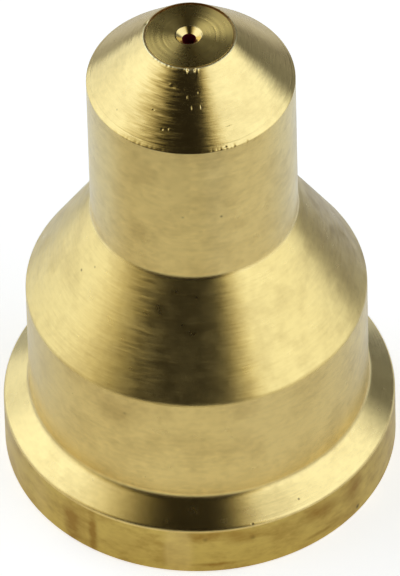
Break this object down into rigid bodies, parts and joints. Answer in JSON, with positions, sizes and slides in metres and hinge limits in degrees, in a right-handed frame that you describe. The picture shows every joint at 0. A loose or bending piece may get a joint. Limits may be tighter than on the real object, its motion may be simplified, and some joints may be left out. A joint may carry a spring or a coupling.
{
  "type": "pilot gas injector",
  "caption": "Small turned brass gas nozzle: flanged base, stepped body with a shoulder cone, cylindrical nose and a coned tip with a fine metering orifice.",
  "frame": {"origin": "centre of the flat base face, where the axis meets it", "axes": "+Z along the turning axis, from the base towards the orifice; the part is round, so X and Y are free"},
  "size_m": [0.008, 0.008, 0.0115],
  "materials": {
    "brass": "turned and satin, with a browner drawn skin on the flange's wall"
  },
  "bodies": {
    "root": {"injector": "brass"}
  },
  "joints": []
}
